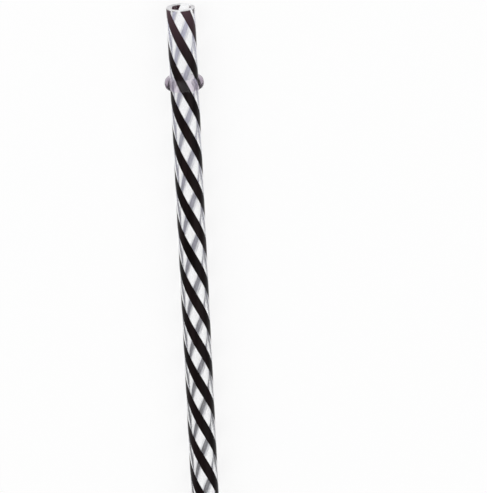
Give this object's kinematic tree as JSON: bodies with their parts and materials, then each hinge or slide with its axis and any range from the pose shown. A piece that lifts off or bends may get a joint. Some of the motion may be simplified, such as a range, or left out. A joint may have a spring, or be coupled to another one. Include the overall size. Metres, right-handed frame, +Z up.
{
  "type": "reusable plastic straw",
  "caption": "Straight hard clear plastic drinking straw with coloured stripes wound round it in a long helix and a clear stop ring near the mouth.",
  "frame": {"origin": "on the surface that the straw lies on, below the middle of the tube", "axes": "+Y from the far end to the mouth, +Z up, +X to the right of someone who looks down with the mouth away from them"},
  "size_m": [0.011, 0.23, 0.011],
  "materials": {
    "clear_plastic": "hard clear acrylic, faintly hazy outside, bevelled rims",
    "black_plastic": "glossy black stripe flush with the clear wall",
    "clear_ring": "clear moulded bead, a little greyer than the tube"
  },
  "bodies": {
    "root": {"tube": "clear_plastic", "stripe_1": "black_plastic", "stripe_2": "black_plastic", "stripe_3": "black_plastic", "stripe_4": "black_plastic", "stop_ring": "clear_ring"}
  },
  "joints": []
}
